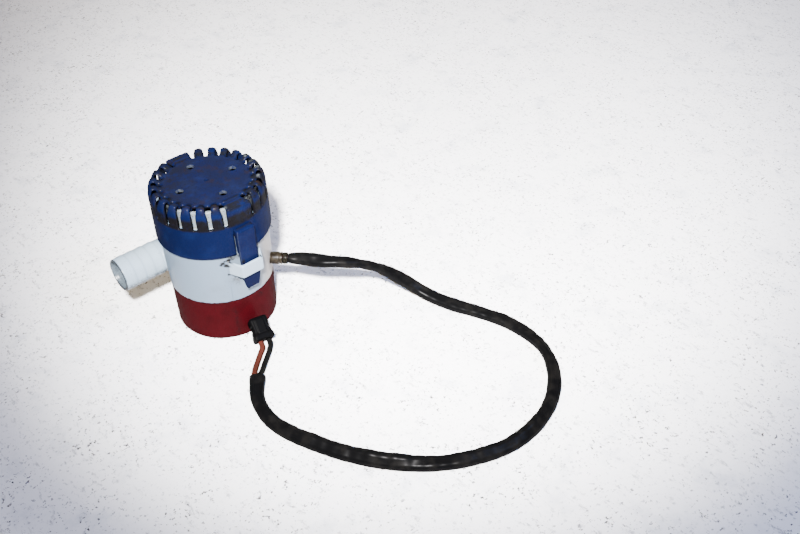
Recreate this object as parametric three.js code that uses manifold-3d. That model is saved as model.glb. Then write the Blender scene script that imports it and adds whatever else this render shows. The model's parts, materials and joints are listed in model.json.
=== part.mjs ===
// Submersible bilge pump, 12 V, with its cable and two-way connector.
// It stands on its motor cap with the strainer on top. Millimetres, +Z up.
// The origin is the centre of the cap's resting face. The outlet nozzle points along -X.
// The two snap tabs of the strainer are on the -Y and +Y sides.

import * as THREE from "three";
import { mergeVertices } from "three/addons/utils/BufferGeometryUtils.js";
import Module from "manifold-3d";

const wasm = await Module();
wasm.setup();

// ---------------------------------------------------------------- driving dimensions

const GAP = 0.3; // between pieces that touch
const RUN = 0.1; // radial clearance of turning pieces
const ROUND = 48; // sides of the large round pieces
const SMALL = 16; // sides of the small round pieces

const CAP = { baseR: 27.4, seamR: 27.7, seamZ: 26, wall: 2.4, foot: 0.9, spigotR: 25.9, spigotZ: 29 };
const CAP_BORE_R = 23;
const MOTOR_SEAT = { inR: 5.6, outR: 7.2, topZ: 12.7 };
const CAP_RING = { radius: 25.35, section: 0.6, z: 27.7 };

const HOUSING = { seamR: 27.8, bodyR: 28.2, wall: 2, neckR: 25, neckZ: 73.5, rimZ: 83.2 };
const FLOOR_RING = { bottomZ: 29.3, topZ: 31.2 };
const POT = { outR: 19.2, inR: 17.2, deckZ: 55, topZ: 57.5 };
const SEAL_BOSS = { outR: 7, inR: 5.3, floorZ: 57, topZ: 60.5 };
const LEDGE = { inR: 21.4, z: 74.7 };
const NOZZLE = { outR: 9.3, boreR: 7.3, endX: -50.2, y: 18.7, z: 38.6 };
const STRAP = { bottomZ: 45.6, topZ: 53.4, frontY: 35, frontX: 6.2, rootY: 26, rootX: 10.4, thick: 1.5 };

const SKIRT = { lipZ: 57.6, outR: 30.1, topR: 29.8, wall: 1.5 };
const DISC = { topZ: 86, thick: 2, edgeR: 23.8 };
const RIM = { centreR: 26.5, centreZ: 82.5, halfWidth: 3.3, height: 5.3, wall: 1.7 };
const SLOT = { count: 11, width: 2.2, innerR: 23, bottomZ: 75.7, first: 15.8, pitch: 14.84 };
const FIELD = { halfWidth: 6.9, faceY: 29.5 }; // the flat fields above the two tabs
const SCREW_HOLE = { r: 2, circleR: 15.55 };
const TAB = { width: 10.4, tipWidth: 7.3, outY: 33, thick: 1.8, rootZ: 70, taperZ: 43, tipZ: 36 };
const TAB_BOSS_TOP = 73.6;
const TAB_NOTCH = { width: 1.1, topZ: 70.5, nearX: 4.2 };

const SHAFT = { r: 1.6, bottomZ: 9.6, topZ: 69.5 };
const IMPELLER = { r: 18.5, backZ: 61.8, back: 1.6, topZ: 71, hubR: 4, vanes: 5, vane: 1.4, sweep: 62 };
const INLET = { r: 22.7, eyeR: 9.5, collarR: 11, collarZ: 73, bottomZ: 75, topZ: 77 };

const CAN = { outR: 13.85, wall: 1, bottomZ: 16.6, topZ: 54.6 };
const BEARING = { inR: SHAFT.r + RUN, outR: 3.1, seatR: 3.25 };
const DRIVE_BEARING = { bottomZ: 50.9, topZ: 54.3 };
const TAIL_BEARING = { bottomZ: 11.3, topZ: 18 };
const END_BELL = { flangeZ: 13, plugR: 12.6, topZ: 18.3, bossR: 5, bossZ: 11 };
const MAGNET = { inR: 10.3, outR: 12.6, bottomZ: 28, topZ: 50, span: 140 };
const CORE = { r: 9.7, shoeR: 8, hubR: 4.5, neck: 3.4, bottomZ: 30, topZ: 46, shoe: 92 };
const COIL = { inX: 4.9, outX: 6.8, halfY: 3.6, over: 2.6 };
const COMMUTATOR = { coreR: 3, inR: 3.15, outR: 4.3, bottomZ: 20, topZ: 26.5, span: 108 };
const BRUSH = { inR: 4.5, outR: 7.4, width: 2.4, bottomZ: 21, topZ: 25 };
const ARM = { r: 7.7, thick: 0.35, bottomZ: 13.6, topZ: 25 };
const TERMINAL = { r: 8.5, thick: 0.6, width: 2.6, bottomZ: 8, topZ: 15.5 };
const LEAD_R = 0.95;

const GLAND_TURN = -44.2; // the gland's direction, degrees from +X
const GLAND = { z: 35.7, r: 3.45, boreR: 2.35, inR: 21.5, outR: 34.4, seatR: 2.95, seatFrom: 31 };
const GLAND_BOSS = { r: 6, boreR: 3.75, fromR: 18.2, toR: 27.4 };
const FERRULE = { r: 3.1, fromR: 34.7, toR: 37.2 };
const GROMMET = { r: 2.75, fromR: 31.2, toR: 34.2 };

const SLEEVE_R = 3.3;
const WIRE_R = 1.5;
const CONNECTOR = { x: -1.6, y: -35.1, z: 8.5, tilt: 36, turn: -13, width: 10, thick: 8.5, from: -4.3, to: 5.4 };
const COLLAR = { width: 10.9, thick: 9.2, from: -7.5 };
const CONTACT = { offset: 2.4, size: 1.5, from: -3.6, to: 3.6, cavity: 2.6 };

// The free cable's route: straight out of the gland, down to the surface, and a wide bend back.
const SLEEVE_ROUTE = [
  [27.03, -26.28, 35.7],
  [31, -30.4, 35.8],
  [35.2, -35.8, 35.9],
  [39.9, -41.4, 35.8],
  [45, -45.9, 35.3],
  [50.6, -49.6, 33.9],
  [56.5, -52.3, 31.3],
  [62.4, -54.3, 27.6],
  [68.3, -56.1, 22.9],
  [73.9, -58.3, 17.6],
  [79, -61.5, 12.5],
  [83.2, -66, 8.2],
  [86.4, -71.6, 5.2],
  [89.2, -78.3, 3.7],
  [93.6, -89.3, 3.3],
  [100.2, -102.9, 3.3],
  [105.4, -117.6, 3.3],
  [107, -132.7, 3.3],
  [103.8, -147.1, 3.3],
  [95.7, -159.5, 3.3],
  [83.5, -169.4, 3.3],
  [69.7, -175.4, 3.3],
  [54.6, -177.5, 3.3],
  [40.1, -175.8, 3.3],
  [25.4, -170.3, 3.3],
  [12.4, -162.5, 3.3],
  [0.8, -152.7, 3.3],
  [-9.1, -141.4, 3.3],
  [-17.5, -128.3, 3.3],
  [-24.2, -115, 3.3],
  [-29.6, -101.2, 3.3],
  [-32.2, -86.4, 3.3],
  [-29, -72, 3.3],
  [-20.5, -59.4, 3.3],
];
const BROWN_ROUTE = [
  [-21, -57.2, 3],
  [-18.7, -54.4, 2.4],
  [-13.9, -49.8, 1.7],
  [-9.4, -46, 2],
  [-6.6, -43.9, 2.9],
  [-5.35, -40.7, 3.9],
];
const BLACK_ROUTE = [
  [-18.9, -59.6, 3],
  [-16, -57.2, 2.4],
  [-11.1, -52.8, 1.7],
  [-6.4, -49, 2],
  [-2.3, -45.2, 2.9],
  [-0.7, -41.8, 3.9],
];

// ---------------------------------------------------------------- materials

function material(color, roughness, metalness = 0) {
  return new THREE.MeshStandardMaterial({ color, roughness, metalness });
}

const BLUE = material(0x183a7a, 0.45);
const WHITE = material(0xd3dde4, 0.5);
const RED = material(0x6d1a20, 0.4);
const IVORY = material(0xcfc9b8, 0.6);
const BLACK_RUBBER = material(0x1b1b1d, 0.8);
const BLACK_PLASTIC = material(0x202022, 0.5);
const BROWN_PLASTIC = material(0x9a4a32, 0.55);
const STEEL = material(0xa9adb0, 0.3, 1);
const BRASS = material(0x9a8250, 0.4, 1);
const BRONZE = material(0x8a6237, 0.5, 1);
const COPPER = material(0xb0643a, 0.4, 1);
const LAMINATION = material(0x6e7276, 0.5, 1);
const FERRITE = material(0x38383a, 0.8);
const CARBON = material(0x2a2a2b, 0.7);

// ---------------------------------------------------------------- solids

const radians = THREE.MathUtils.degToRad;

// A closed geometry as a manifold-3d solid that faces out.
function solidOf(geometry) {
  const bare = geometry.clone();
  bare.deleteAttribute("normal");
  bare.deleteAttribute("uv");
  const merged = mergeVertices(bare, 1e-4);
  const corners = [];
  for (let i = 0; i < merged.index.count; i += 3) {
    const [a, b, c] = [0, 1, 2].map((k) => merged.index.getX(i + k));
    if (a !== b && b !== c && c !== a) corners.push([a, b, c]);
  }
  const build = (faces) =>
    new wasm.Manifold(
      new wasm.Mesh({
        numProp: 3,
        vertProperties: new Float32Array(merged.attributes.position.array),
        triVerts: new Uint32Array(faces.flat()),
      }),
    );
  const made = build(corners);
  return made.volume() < 0 ? build(corners.map(([a, b, c]) => [a, c, b])) : made;
}

// A profile of [radius, z] points turned about Z.
function turned(profile, sides = ROUND) {
  const points = [...profile, profile[0]].map(([r, z]) => new THREE.Vector2(r, z));
  return solidOf(new THREE.LatheGeometry(points, sides).rotateX(Math.PI / 2));
}

function disc(r, bottomZ, topZ, sides = SMALL) {
  const half = (topZ - bottomZ) / 2;
  const geometry = new THREE.CylinderGeometry(r, r, 2 * half, sides).rotateX(Math.PI / 2);
  return solidOf(geometry.translate(0, 0, bottomZ + half));
}

function ring(inR, outR, bottomZ, topZ, sides = SMALL) {
  const profile = [
    [inR, bottomZ],
    [outR, bottomZ],
    [outR, topZ],
    [inR, topZ],
  ];
  return turned(profile, sides);
}

function block(lowX, highX, lowY, highY, lowZ, highZ) {
  const geometry = new THREE.BoxGeometry(highX - lowX, highY - lowY, highZ - lowZ);
  return solidOf(geometry.translate((lowX + highX) / 2, (lowY + highY) / 2, (lowZ + highZ) / 2));
}

// A flat outline of [x, y] points pushed up from bottomZ to topZ.
function pushed(outline, bottomZ, topZ) {
  const shape = new THREE.Shape(outline.map(([x, y]) => new THREE.Vector2(x, y)));
  const geometry = new THREE.ExtrudeGeometry(shape, { depth: topZ - bottomZ, bevelEnabled: false });
  return solidOf(geometry.translate(0, 0, bottomZ));
}

// Part of a ring, spanning an angle centred on +X.
function arc(inR, outR, span, bottomZ, topZ, steps = 12) {
  const angles = Array.from({ length: steps + 1 }, (_, i) => radians(span * (i / steps - 0.5)));
  const at = (r, a) => [r * Math.cos(a), r * Math.sin(a)];
  const outline = [...angles.map((a) => at(outR, a)), ...angles.reverse().map((a) => at(inR, a))];
  return pushed(outline, bottomZ, topZ);
}

function spun(solid, degrees) {
  return solid.rotate([0, 0, degrees]);
}

// A cylinder or ring made about Z, laid along the gland's axis with Z as the distance from the pump's axis.
function alongGland(solid) {
  return solid.rotate([0, 90, GLAND_TURN]).translate([0, 0, GLAND.z]);
}

// A tube along a smooth curve through the points.
function tube(points, radius, sides, steps) {
  const path = new THREE.CatmullRomCurve3(points.map((p) => new THREE.Vector3(...p)), false, "centripetal");
  const section = new THREE.Shape(
    Array.from({ length: sides }, (_, i) => {
      const a = (i / sides) * 2 * Math.PI;
      return new THREE.Vector2(radius * Math.cos(a), radius * Math.sin(a));
    }),
  );
  return solidOf(new THREE.ExtrudeGeometry(section, { steps, extrudePath: path }));
}

const root = new THREE.Group();

function place(name, solid, finish) {
  const { vertProperties, triVerts } = solid.getMesh();
  const geometry = new THREE.BufferGeometry();
  geometry.setAttribute("position", new THREE.BufferAttribute(new Float32Array(vertProperties), 3));
  geometry.setIndex(new THREE.BufferAttribute(new Uint32Array(triVerts), 1));
  geometry.computeVertexNormals();
  const mesh = new THREE.Mesh(geometry, finish);
  mesh.name = name;
  root.add(mesh);
}

// ---------------------------------------------------------------- strainer

// Points of the rim's rounded crest, from its outer foot over the top to where it meets the given height.
function crest(halfWidth, height, meetZ, steps) {
  const end = Math.PI - Math.asin((meetZ - RIM.centreZ) / height);
  return Array.from({ length: steps + 1 }, (_, i) => {
    const a = (end * i) / steps;
    return [RIM.centreR + halfWidth * Math.cos(a), RIM.centreZ + height * Math.sin(a)];
  });
}

function strainerShell() {
  const under = DISC.topZ - DISC.thick;
  const outside = crest(RIM.halfWidth, RIM.height, DISC.topZ, 6);
  const inside = crest(RIM.halfWidth - RIM.wall, RIM.height - RIM.wall, under, 3).reverse();
  return turned([
    [0, DISC.topZ],
    [0, under],
    ...inside,
    [SKIRT.outR - SKIRT.wall, SKIRT.lipZ],
    [SKIRT.outR, SKIRT.lipZ],
    ...outside,
  ]);
}

// The side field over a tab: a flat face with a square top edge in place of the rounded rim.
function squaredField(shell) {
  const { halfWidth: w, faceY } = FIELD;
  const cut = block(-w, w, -SKIRT.outR - 1, -DISC.edgeR + 2, DISC.topZ, DISC.topZ + 5);
  const fill = block(-w, w, -faceY, -RIM.centreR, RIM.centreZ - 1, DISC.topZ);
  const boss = pushed(
    [
      [TAB.outY, TAB.rootZ + GAP],
      [TAB.outY, TAB_BOSS_TOP - 0.6],
      [TAB.outY - 0.6, TAB_BOSS_TOP],
      [SKIRT.topR - SKIRT.wall, TAB_BOSS_TOP],
      [SKIRT.topR - SKIRT.wall, TAB.rootZ + GAP],
    ],
    -TAB.width / 2,
    TAB.width / 2,
  ).rotate([90, 0, -90]);
  return shell.subtract(cut).add(fill).add(boss);
}

function tabNotches() {
  const start = TAB_NOTCH.nearX;
  const notch = (x) => block(x, x + TAB_NOTCH.width, -SKIRT.outR - 1, -SKIRT.outR + 4, SKIRT.lipZ - 1, TAB_NOTCH.topZ);
  return notch(start).add(notch(-start - TAB_NOTCH.width));
}

function strainerSlot() {
  const top = RIM.centreZ + RIM.height + 1;
  const half = SLOT.width / 2;
  const end = disc(half, SLOT.bottomZ, top, 8).translate([0, SLOT.innerR + half, 0]);
  return block(-half, half, SLOT.innerR + half, SKIRT.outR + 2, SLOT.bottomZ, top).add(end);
}

function strainer() {
  let body = squaredField(strainerShell());
  body = spun(squaredField(spun(body, 180)), 180);
  for (const side of [0, 180]) {
    body = body.subtract(spun(tabNotches(), side));
    for (let k = 0; k < SLOT.count; k += 1) {
      body = body.subtract(spun(strainerSlot(), side + SLOT.first + k * SLOT.pitch));
    }
  }
  for (const turn of [0, 90, 180, 270]) {
    const hole = disc(SCREW_HOLE.r, DISC.topZ - 3, DISC.topZ + 1, 12).translate([SCREW_HOLE.circleR, 0, 0]);
    body = body.subtract(spun(hole, turn));
  }
  return body;
}

function snapTab() {
  const wide = TAB.width / 2;
  const tip = TAB.tipWidth / 2;
  const outline = [
    [-wide, TAB.rootZ],
    [-wide, TAB.taperZ],
    [-tip, TAB.tipZ],
    [tip, TAB.tipZ],
    [wide, TAB.taperZ],
    [wide, TAB.rootZ],
  ];
  return pushed(outline, TAB.outY - TAB.thick, TAB.outY).rotate([90, 0, 0]);
}

place("strainer", strainer(), BLUE);
place("strainer_tab_front", snapTab(), BLUE);
place("strainer_tab_back", spun(snapTab(), 180), BLUE);

// ---------------------------------------------------------------- pump housing

function housingWalls() {
  const { seamR, bodyR, wall, neckR, neckZ, rimZ } = HOUSING;
  const bottom = CAP.seamZ + GAP;
  return turned([
    [bodyR - wall, bottom],
    [seamR, bottom],
    [bodyR, bottom + 12],
    [bodyR, neckZ],
    [neckR, neckZ],
    [neckR, rimZ],
    [neckR - wall, rimZ],
    [neckR - wall, LEDGE.z],
    [LEDGE.inR, LEDGE.z],
    [LEDGE.inR, neckZ - wall],
    [bodyR - wall, neckZ - wall],
    [bodyR - wall, FLOOR_RING.topZ],
    [POT.outR + GAP, FLOOR_RING.topZ],
    [POT.outR + GAP, FLOOR_RING.bottomZ],
    [bodyR - wall, FLOOR_RING.bottomZ],
  ]);
}

// The dry pot that holds the motor, with the lip seal's boss on its deck.
function motorPot() {
  return turned([
    [POT.inR, CAP.seamZ + GAP],
    [POT.outR, CAP.seamZ + GAP],
    [POT.outR, POT.topZ],
    [SEAL_BOSS.outR, POT.topZ],
    [SEAL_BOSS.outR, SEAL_BOSS.topZ],
    [SEAL_BOSS.inR, SEAL_BOSS.topZ],
    [SEAL_BOSS.inR, SEAL_BOSS.floorZ],
    [SHAFT.r + 0.6, SEAL_BOSS.floorZ],
    [SHAFT.r + 0.6, POT.deckZ],
    [POT.inR, POT.deckZ],
  ]);
}

function sideways(solid, x, y, z) {
  return solid.rotate([0, -90, 0]).translate([x, y, z]);
}

function strapLoop() {
  const { frontX, frontY, rootX, rootY, thick, bottomZ, topZ } = STRAP;
  const outline = [
    [-rootX, -rootY],
    [-frontX, -frontY],
    [frontX, -frontY],
    [rootX, -rootY],
    [rootX - 1.1 * thick, -rootY],
    [frontX - 0.5 * thick, -frontY + thick],
    [-frontX + 0.5 * thick, -frontY + thick],
    [-rootX + 1.1 * thick, -rootY],
  ];
  return pushed(outline, bottomZ, topZ);
}

// A solid rod along the outlet's axis.
function outletRod(radius, fromX, toX, sides) {
  return sideways(disc(radius, -fromX, -toX, sides), 0, NOZZLE.y, NOZZLE.z);
}

function outletPipe() {
  return outletRod(NOZZLE.outR, -6, NOZZLE.endX, 32);
}

function outletBore() {
  return outletRod(NOZZLE.boreR, 1, NOZZLE.endX - 1, 24);
}

function pumpHousing() {
  const inside = HOUSING.bodyR - HOUSING.wall;
  const cavity = disc(inside, FLOOR_RING.topZ, HOUSING.neckZ - HOUSING.wall, ROUND);
  const potSpace = disc(POT.outR + GAP, CAP.seamZ, POT.topZ, ROUND);
  const body = disc(HOUSING.seamR, CAP.seamZ + GAP, HOUSING.neckZ, ROUND);
  const boss = alongGland(disc(GLAND_BOSS.r, GLAND_BOSS.fromR, GLAND_BOSS.toR, 20));
  const pipeRoot = outletPipe().intersect(body).subtract(cavity).subtract(potSpace);
  return housingWalls()
    .add(pipeRoot)
    .subtract(outletBore())
    .add(strapLoop())
    .add(spun(strapLoop(), 180))
    .add(boss.subtract(potSpace))
    .subtract(glandBore());
}

// The pipe outside the pump's body, one moulding with it.
function outletNozzle() {
  const body = disc(HOUSING.bodyR + 0.05, CAP.seamZ, HOUSING.neckZ, ROUND);
  return outletPipe().subtract(body).subtract(outletBore());
}

function glandBore() {
  return alongGland(disc(GLAND_BOSS.boreR, POT.inR - 3, HOUSING.bodyR + 2, 20));
}

function inletPlate() {
  return turned([
    [INLET.eyeR, INLET.collarZ],
    [INLET.collarR, INLET.collarZ],
    [INLET.collarR, INLET.bottomZ],
    [INLET.r, INLET.bottomZ],
    [INLET.r, INLET.topZ],
    [INLET.eyeR, INLET.topZ],
  ], 36);
}

place("pump_housing", pumpHousing(), WHITE);
place("outlet_nozzle", outletNozzle(), WHITE);
place("motor_pot", motorPot().subtract(glandBore()), WHITE);
place("inlet_plate", inletPlate(), IVORY);

// ---------------------------------------------------------------- motor cap and its seal

function motorCap() {
  const { baseR, seamR, seamZ, wall, foot, spigotR, spigotZ } = CAP;
  const groove = CAP_RING.section + 0.2;
  const shell = turned([
    [0, 0],
    [baseR - foot, 0],
    [baseR - 0.4 * foot, 0.3 * foot],
    [baseR, foot],
    [seamR, seamZ],
    [spigotR, seamZ],
    [spigotR, CAP_RING.z - groove],
    [CAP_RING.radius - groove, CAP_RING.z - groove],
    [CAP_RING.radius - groove, CAP_RING.z + groove],
    [spigotR, CAP_RING.z + groove],
    [spigotR, spigotZ],
    [CAP_BORE_R, spigotZ],
    [CAP_BORE_R, wall + 2],
    [CAP_BORE_R - 2, wall],
    [0, wall],
  ]);
  return shell.add(ring(MOTOR_SEAT.inR, MOTOR_SEAT.outR, wall - 0.5, MOTOR_SEAT.topZ, 24));
}

function capRing() {
  const torus = new THREE.TorusGeometry(CAP_RING.radius, CAP_RING.section, 6, 40);
  return solidOf(torus).translate([0, 0, CAP_RING.z]);
}

place("motor_cap", motorCap(), RED);
place("cap_o_ring", capRing(), BLACK_RUBBER);

// ---------------------------------------------------------------- rotor

// One vane that sweeps back as it goes out.
function vane() {
  const rows = 8;
  const first = IMPELLER.hubR - 0.6;
  const last = IMPELLER.r - 0.4;
  const line = Array.from({ length: rows + 1 }, (_, i) => {
    const r = first + ((last - first) * i) / rows;
    return [r, -radians(IMPELLER.sweep) * (i / rows)];
  });
  const side = (shift) => line.map(([r, a]) => [r * Math.cos(a + shift / r), r * Math.sin(a + shift / r)]);
  const half = IMPELLER.vane / 2;
  return pushed([...side(-half), ...side(half).reverse()], IMPELLER.backZ + 1, IMPELLER.topZ);
}

function impeller() {
  let body = disc(IMPELLER.r, IMPELLER.backZ, IMPELLER.backZ + IMPELLER.back, 36);
  body = body.add(disc(IMPELLER.hubR, IMPELLER.backZ, IMPELLER.topZ + 1));
  for (let k = 0; k < IMPELLER.vanes; k += 1) {
    body = body.add(spun(vane(), (360 * k) / IMPELLER.vanes));
  }
  return body.subtract(disc(BEARING.inR, IMPELLER.backZ - 1, SHAFT.topZ + GAP));
}

function armatureCore() {
  const { r, shoeR, hubR, neck, bottomZ, topZ, shoe } = CORE;
  let body = disc(hubR, bottomZ, topZ);
  for (const turn of [0, 120, 240]) {
    const pole = block(hubR - 1, shoeR + 0.8, -neck / 2, neck / 2, bottomZ, topZ);
    body = body.add(spun(pole.add(arc(shoeR, r, shoe, bottomZ, topZ)), turn));
  }
  return body.subtract(disc(BEARING.inR, bottomZ - 1, topZ + 1));
}

function winding() {
  const { inX, outX, halfY, over } = COIL;
  const coil = block(inX, outX, -halfY, halfY, CORE.bottomZ - over, CORE.topZ + over);
  const halfNeck = CORE.neck / 2 + GAP;
  return coil.subtract(block(0, 10, -halfNeck, halfNeck, CORE.bottomZ - GAP, CORE.topZ + GAP));
}

place("motor_shaft", disc(SHAFT.r, SHAFT.bottomZ, SHAFT.topZ), STEEL);
place("impeller", impeller(), IVORY);
place("armature_core", armatureCore(), LAMINATION);
for (const k of [1, 2, 3]) {
  place(`armature_winding_${k}`, spun(winding(), 120 * k), COPPER);
  const { inR, outR, span, bottomZ, topZ } = COMMUTATOR;
  place(`commutator_segment_${k}`, spun(arc(inR, outR, span, bottomZ, topZ), 120 * k + 60), COPPER);
}
place("commutator_core", ring(BEARING.inR, COMMUTATOR.coreR, COMMUTATOR.bottomZ - 0.4, 27), BLACK_PLASTIC);
place("thrust_washer_drive", ring(BEARING.inR, 3, 49.8, 50.5), STEEL);
place("thrust_washer_tail", ring(BEARING.inR, 3, 18.4, 19.1), STEEL);

// ---------------------------------------------------------------- shaft seal

place("shaft_seal", ring(BEARING.inR, SEAL_BOSS.inR - 0.2, SEAL_BOSS.floorZ + 0.2, 60.2), BLACK_RUBBER);
place("seal_washer", ring(SHAFT.r + 0.4, SEAL_BOSS.outR - 0.6, 60.7, 61.2), STEEL);

// ---------------------------------------------------------------- motor

function motorCan() {
  const inR = CAN.outR - CAN.wall;
  return turned([
    [inR, CAN.bottomZ],
    [CAN.outR, CAN.bottomZ],
    [CAN.outR, CAN.topZ],
    [BEARING.seatR, CAN.topZ],
    [BEARING.seatR, DRIVE_BEARING.bottomZ - 0.2],
    [BEARING.seatR + 1, DRIVE_BEARING.bottomZ - 0.2],
    [BEARING.seatR + 1, CAN.topZ - CAN.wall],
    [inR, CAN.topZ - CAN.wall],
  ], 32);
}

function endBell() {
  const body = turned([
    [BEARING.seatR, END_BELL.bossZ],
    [END_BELL.bossR, END_BELL.bossZ],
    [END_BELL.bossR, END_BELL.flangeZ],
    [CAN.outR, END_BELL.flangeZ],
    [CAN.outR, CAN.bottomZ - GAP],
    [END_BELL.plugR, CAN.bottomZ - GAP],
    [END_BELL.plugR, END_BELL.topZ],
    [BEARING.seatR, END_BELL.topZ],
  ], 32);
  const half = TERMINAL.width / 2 + GAP;
  const slit = block(ARM.r - 0.5, TERMINAL.r + 1, -half, half, END_BELL.flangeZ - 1, END_BELL.topZ + 1);
  return body.subtract(spun(slit, GLAND_TURN + 90)).subtract(spun(slit, GLAND_TURN - 90));
}

place("motor_can", motorCan(), STEEL);
place("motor_end_bell", endBell(), BLACK_PLASTIC);
place("drive_bearing", ring(BEARING.inR, BEARING.outR, DRIVE_BEARING.bottomZ, DRIVE_BEARING.topZ), BRONZE);
place("tail_bearing", ring(BEARING.inR, BEARING.outR, TAIL_BEARING.bottomZ, TAIL_BEARING.topZ), BRONZE);

const SIDES = [
  { tag: "brown", turn: 1 },
  { tag: "black", turn: -1 },
];

// The inside lead: from a motor terminal, round and up beside the can, and out through the gland.
function lead(side) {
  const rows = [
    [10.1, 90, 9.5],
    [13.6, 76, 9.3],
    [17.2, 54, 9.8],
    [18.4, 30, 11.5],
    [17.4, 11, 16.5],
    [15.5, 4.2, 23],
    [15.5, 4.1, 30],
  ];
  const points = rows.map(([r, away, z]) => {
    const a = radians(GLAND_TURN + side * away);
    return [r * Math.cos(a), r * Math.sin(a), z];
  });
  const out = radians(GLAND_TURN);
  for (const [r, z] of [
    [16.2, 33.4],
    [18.2, 35.3],
    [20.5, GLAND.z],
    [FERRULE.toR - GAP, GLAND.z],
  ]) {
    const off = 1.12 * side;
    points.push([r * Math.cos(out) - off * Math.sin(out), r * Math.sin(out) + off * Math.cos(out), z]);
  }
  return tube(points, LEAD_R, 6, 26);
}

SIDES.forEach(({ tag, turn }, i) => {
  const angle = GLAND_TURN + 90 * turn;
  const halfBrush = BRUSH.width / 2;
  const halfTab = TERMINAL.width / 2;
  const magnet = arc(MAGNET.inR, MAGNET.outR, MAGNET.span, MAGNET.bottomZ, MAGNET.topZ, 14);
  const brush = block(BRUSH.inR, BRUSH.outR, -halfBrush, halfBrush, BRUSH.bottomZ, BRUSH.topZ);
  const arm = block(ARM.r, ARM.r + ARM.thick, -halfBrush, halfBrush, ARM.bottomZ, ARM.topZ);
  const tab = block(TERMINAL.r, TERMINAL.r + TERMINAL.thick, -halfTab, halfTab, TERMINAL.bottomZ, TERMINAL.topZ);
  place(`magnet_${i + 1}`, spun(magnet, angle), FERRITE);
  place(`brush_${i + 1}`, spun(brush, angle), CARBON);
  place(`brush_arm_${i + 1}`, spun(arm, angle), BRASS);
  place(`motor_terminal_${i + 1}`, spun(tab, angle), BRASS);
  place(`inner_lead_${tag}`, lead(turn), tag === "brown" ? BROWN_PLASTIC : BLACK_PLASTIC);
});

// ---------------------------------------------------------------- cable gland

function glandBody() {
  const body = turned([
    [GLAND.boreR, GLAND.inR],
    [GLAND.r, GLAND.inR],
    [GLAND.r, GLAND.outR - 0.4],
    [GLAND.r - 0.4, GLAND.outR],
    [GLAND.seatR, GLAND.outR],
    [GLAND.seatR, GLAND.seatFrom],
    [GLAND.boreR, GLAND.seatFrom],
  ], 20);
  return alongGland(body);
}

place("gland_body", glandBody(), BRASS);
place("gland_grommet", alongGland(ring(GLAND.boreR, GROMMET.r, GROMMET.fromR, GROMMET.toR)), BLACK_RUBBER);
place("gland_ferrule", alongGland(ring(GLAND.boreR, FERRULE.r, FERRULE.fromR, FERRULE.toR)), BRONZE);

// ---------------------------------------------------------------- free cable and connector

// Moves a solid made along +Y about the origin to where the connector leans on the cap.
function leaned(solid) {
  const { x, y, z, tilt, turn } = CONNECTOR;
  return solid.rotate([tilt, 0, 0]).rotate([0, 0, turn]).translate([x, y, z]);
}

function connectorBody() {
  const half = (size) => size / 2;
  const shell = block(
    -half(CONNECTOR.width), half(CONNECTOR.width), CONNECTOR.from - 0.5, CONNECTOR.to,
    -half(CONNECTOR.thick), half(CONNECTOR.thick),
  );
  const collar = block(
    -half(COLLAR.width), half(COLLAR.width), COLLAR.from, CONNECTOR.from,
    -half(COLLAR.thick), half(COLLAR.thick),
  );
  let body = shell.add(collar);
  for (const side of [-1, 1]) {
    const x = side * CONTACT.offset;
    const seal = solidOf(new THREE.CylinderGeometry(1.9, 1.9, 3, 20)).translate([x, COLLAR.from + 1, 0]);
    const room = CONTACT.cavity / 2;
    const way = block(x - room, x + room, COLLAR.from + 2, CONNECTOR.to + 1, -room, room);
    body = body.subtract(seal).subtract(way);
  }
  return body;
}

function wireSeal(x) {
  const profile = [
    [WIRE_R + 0.01, 0.3],
    [1.7, 0.3],
    [1.7, 2.1],
    [WIRE_R + 0.01, 2.1],
  ];
  return turned(profile, 20).rotate([-90, 0, 0]).translate([x, COLLAR.from, 0]);
}

place("cable_sleeve", tube(SLEEVE_ROUTE, SLEEVE_R, 8, 44), BLACK_RUBBER);
place("wire_brown", tube(BROWN_ROUTE, WIRE_R, 8, 12), BROWN_PLASTIC);
place("wire_black", tube(BLACK_ROUTE, WIRE_R, 8, 12), BLACK_PLASTIC);
place("connector_body", leaned(connectorBody()), BLACK_PLASTIC);
SIDES.forEach(({ turn }, i) => {
  const x = -turn * CONTACT.offset;
  const half = CONTACT.size / 2;
  const contact = block(x - half, x + half, CONTACT.from, CONTACT.to, -half, half);
  place(`connector_contact_${i + 1}`, leaned(contact), BRASS);
  place(`wire_seal_${i + 1}`, leaned(wireSeal(x)), BLACK_RUBBER);
});

export default root;
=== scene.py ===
# A small submersible bilge pump standing on its motor cap, with its free cable and two-way connector.
# Shapes are worked out in millimetres in the part's own frame and turned into metres when a mesh is made.

import itertools
import json
import math

import bpy
import numpy as np
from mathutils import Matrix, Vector


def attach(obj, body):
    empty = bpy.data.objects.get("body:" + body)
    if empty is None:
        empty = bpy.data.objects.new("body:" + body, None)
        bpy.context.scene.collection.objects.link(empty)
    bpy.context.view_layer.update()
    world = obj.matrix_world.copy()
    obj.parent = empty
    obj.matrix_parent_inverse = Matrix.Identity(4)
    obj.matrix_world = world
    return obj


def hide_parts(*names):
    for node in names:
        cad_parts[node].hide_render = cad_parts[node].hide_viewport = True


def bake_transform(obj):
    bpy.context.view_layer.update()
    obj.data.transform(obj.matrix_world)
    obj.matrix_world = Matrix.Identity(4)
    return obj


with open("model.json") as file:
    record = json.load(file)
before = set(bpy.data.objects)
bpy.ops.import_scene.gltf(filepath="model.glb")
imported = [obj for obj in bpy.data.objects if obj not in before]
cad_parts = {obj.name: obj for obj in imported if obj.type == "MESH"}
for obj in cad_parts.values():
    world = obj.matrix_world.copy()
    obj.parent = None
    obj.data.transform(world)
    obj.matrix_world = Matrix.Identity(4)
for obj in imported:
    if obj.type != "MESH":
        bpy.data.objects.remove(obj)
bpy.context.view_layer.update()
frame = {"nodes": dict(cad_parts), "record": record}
MM = 0.001

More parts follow.
